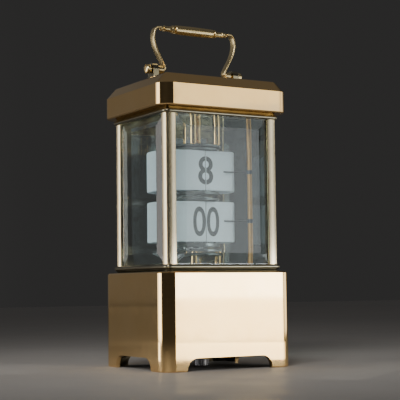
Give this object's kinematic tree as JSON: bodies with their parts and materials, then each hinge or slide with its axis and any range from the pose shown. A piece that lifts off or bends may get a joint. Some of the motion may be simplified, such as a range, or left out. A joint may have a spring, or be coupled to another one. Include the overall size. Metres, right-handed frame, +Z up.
{
  "type": "mantel clock",
  "caption": "Brass four-glass mantel clock with a swing handle, bevelled glass, a hinged rear door and two drums of leaves that flip to show the hour and minutes.",
  "frame": {"origin": "on the surface under the feet, at the middle of the base", "axes": "+Z up, the front glass faces -Y, +X to the viewer's right"},
  "size_m": [0.07, 0.0624, 0.1669],
  "materials": {
    "polished_brass": "highly polished, lacquered",
    "movement_brass": "grained",
    "polished_steel": "polished",
    "satin_metal": "satin",
    "dark_steel": "blackened wire",
    "spring_steel": "blued",
    "leaf_card": "thin satin leaf with printed numerals",
    "bevelled_glass": "clear, ground bevel round the edge"
  },
  "bodies": {
    "case": {"base_shell": "polished_brass", "bottom_cover": "polished_brass", "case_screws": "polished_steel", "lower_frame": "polished_brass", "upper_frame": "polished_brass", "pillar_screws": "polished_steel", "top_cover": "polished_brass", "handle_brackets": "polished_brass", "door_hinge_pins": "polished_steel", "top_bridge": "satin_metal", "lower_bridge": "satin_metal", "bridge_posts": "polished_brass", "finger_rod": "polished_brass", "hour_finger": "dark_steel", "minute_finger": "dark_steel", "mainspring": "spring_steel", "hairspring": "spring_steel", "movement_lower_plate": "movement_brass", "movement_upper_plate": "movement_brass", "movement_pillars": "movement_brass", "movement_screws": "polished_steel", "front_glass": "bevelled_glass", "left_glass": "bevelled_glass", "right_glass": "bevelled_glass", "pillar_front_left": "polished_brass", "pillar_rear_left": "polished_brass", "pillar_front_right": "polished_brass", "pillar_rear_right": "polished_brass"},
    "handle": {"handle_grip": "polished_brass", "handle_arm_left": "polished_brass", "handle_arm_right": "polished_brass", "handle_pivot_screws": "polished_brass"},
    "rear_door": {"door_frame": "polished_brass", "door_glass": "bevelled_glass", "door_knob": "polished_brass"},
    "hour_drum": {"hour_arbor": "polished_steel", "hour_discs": "satin_metal", "hour_leaf_wires": "dark_steel", "hour_leaves": "leaf_card", "hour_wheel": "movement_brass"},
    "minute_drum": {"minute_pipe": "polished_steel", "minute_discs": "satin_metal", "minute_leaf_wires": "dark_steel", "minute_leaves": "leaf_card", "cannon_pinion": "polished_steel"},
    "hour_leaf": {"hour_turning_leaf": "leaf_card"},
    "minute_leaf": {"minute_turning_leaf": "leaf_card"},
    "minute_wheel": {"minute_wheel": "movement_brass"},
    "setting": {"setting_knob": "dark_steel"},
    "centre_wheel": {"centre_wheel": "movement_brass"},
    "barrel": {"barrel": "movement_brass"},
    "winding": {"winding_arbor": "polished_steel", "ratchet_wheel": "polished_steel", "winding_key": "dark_steel"},
    "click": {"click": "polished_steel"},
    "third_wheel": {"third_wheel": "movement_brass"},
    "fourth_wheel": {"fourth_wheel": "movement_brass"},
    "escape_wheel": {"escape_wheel": "movement_brass"},
    "lever": {"pallet_lever": "polished_steel"},
    "balance": {"balance_wheel": "movement_brass"}
  },
  "joints": [
    {"name": "handle_swing", "type": "hinge", "parent": "case", "child": "handle", "pos_m": [0, 0, 0.1438], "axis": [1, 0, 0], "range_deg": [-95, 95]},
    {"name": "door_swing", "type": "hinge", "parent": "case", "child": "rear_door", "pos_m": [0.0235, 0.0252, 0.0492], "axis": [0, 0, -1], "range_deg": [0, 95]},
    {"name": "minute_drum_turn", "type": "hinge", "parent": "case", "child": "minute_drum", "pos_m": [0, 0, 0.0552], "axis": [0, 0, 1], "continuous": true, "deforming": ["minute_finger"]},
    {"name": "hour_drum_turn", "type": "hinge", "parent": "case", "child": "hour_drum", "pos_m": [0, 0, 0.1061], "axis": [0, 0, 1], "continuous": true, "deforming": ["hour_finger"]},
    {"name": "minute_leaf_turn", "type": "hinge", "parent": "minute_drum", "child": "minute_leaf", "pos_m": [0.00048, -0.00919, 0.0601], "axis": [0, 0, -1], "range_deg": [0, 149], "deforming": ["minute_finger"]},
    {"name": "hour_leaf_turn", "type": "hinge", "parent": "hour_drum", "child": "hour_leaf", "pos_m": [0.0006, -0.00918, 0.0849], "axis": [0, 0, -1], "range_deg": [0, 149], "deforming": ["hour_finger"]},
    {"name": "minute_wheel_turn", "type": "hinge", "parent": "case", "child": "minute_wheel", "pos_m": [0, -0.0084, 0.0126], "axis": [0, 0, 1], "continuous": true},
    {"name": "setting_knob_turn", "type": "hinge", "parent": "case", "child": "setting", "pos_m": [-0.00594, -0.01434, 0.004], "axis": [0, 0, 1], "continuous": true},
    {"name": "fourth_wheel_turn", "type": "hinge", "parent": "case", "child": "fourth_wheel", "pos_m": [0.018, -0.00458, 0.012], "axis": [0, 0, 1], "continuous": true},
    {"name": "third_wheel_turn", "type": "hinge", "parent": "case", "child": "third_wheel", "pos_m": [0.01269, 0.00462, 0.012], "axis": [0, 0, 1], "continuous": true},
    {"name": "centre_wheel_turn", "type": "hinge", "parent": "case", "child": "centre_wheel", "pos_m": [0, 0, 0.0204], "axis": [0, 0, 1], "continuous": true},
    {"name": "barrel_turn", "type": "hinge", "parent": "case", "child": "barrel", "pos_m": [-0.0168, 0, 0.021], "axis": [0, 0, 1], "continuous": true, "deforming": ["mainspring"]},
    {"name": "escape_wheel_turn", "type": "hinge", "parent": "case", "child": "escape_wheel", "pos_m": [0.01967, -0.01406, 0.012], "axis": [0, 0, 1], "continuous": true},
    {"name": "winding_turn", "type": "hinge", "parent": "case", "child": "winding", "pos_m": [-0.0168, 0, 0.012], "axis": [0, 0, 1], "continuous": true, "deforming": ["mainspring"]},
    {"name": "click_rock", "type": "hinge", "parent": "case", "child": "click", "pos_m": [-0.026, 0.0094, 0.013], "axis": [0, 0, 1], "range_deg": [0, 10], "stiffness_Nm_per_rad": 0.0002},
    {"name": "balance_swing", "type": "hinge", "parent": "case", "child": "balance", "pos_m": [0.006, -0.0165, 0.012], "axis": [0, 0, 1], "range_deg": [-150, 150], "stiffness_Nm_per_rad": 0.00001, "deforming": ["hairspring"]},
    {"name": "lever_rock", "type": "hinge", "parent": "case", "child": "lever", "pos_m": [0.0144, -0.015, 0.012], "axis": [0, 0, 1], "range_deg": [-6, 6]}
  ],
  "couplings": [
    {"joint": "hour_drum_turn", "follows": "minute_drum_turn", "ratio": 0.083333},
    {"joint": "minute_wheel_turn", "follows": "minute_drum_turn", "ratio": -0.33333},
    {"joint": "setting_knob_turn", "follows": "minute_drum_turn", "ratio": 1},
    {"joint": "third_wheel_turn", "follows": "fourth_wheel_turn", "ratio": -0.13333},
    {"joint": "centre_wheel_turn", "follows": "fourth_wheel_turn", "ratio": 0.016667},
    {"joint": "barrel_turn", "follows": "fourth_wheel_turn", "ratio": -0.0027778},
    {"joint": "escape_wheel_turn", "follows": "fourth_wheel_turn", "ratio": -10},
    {"joint": "lever_rock", "follows": "balance_swing", "ratio": -0.04}
  ]
}
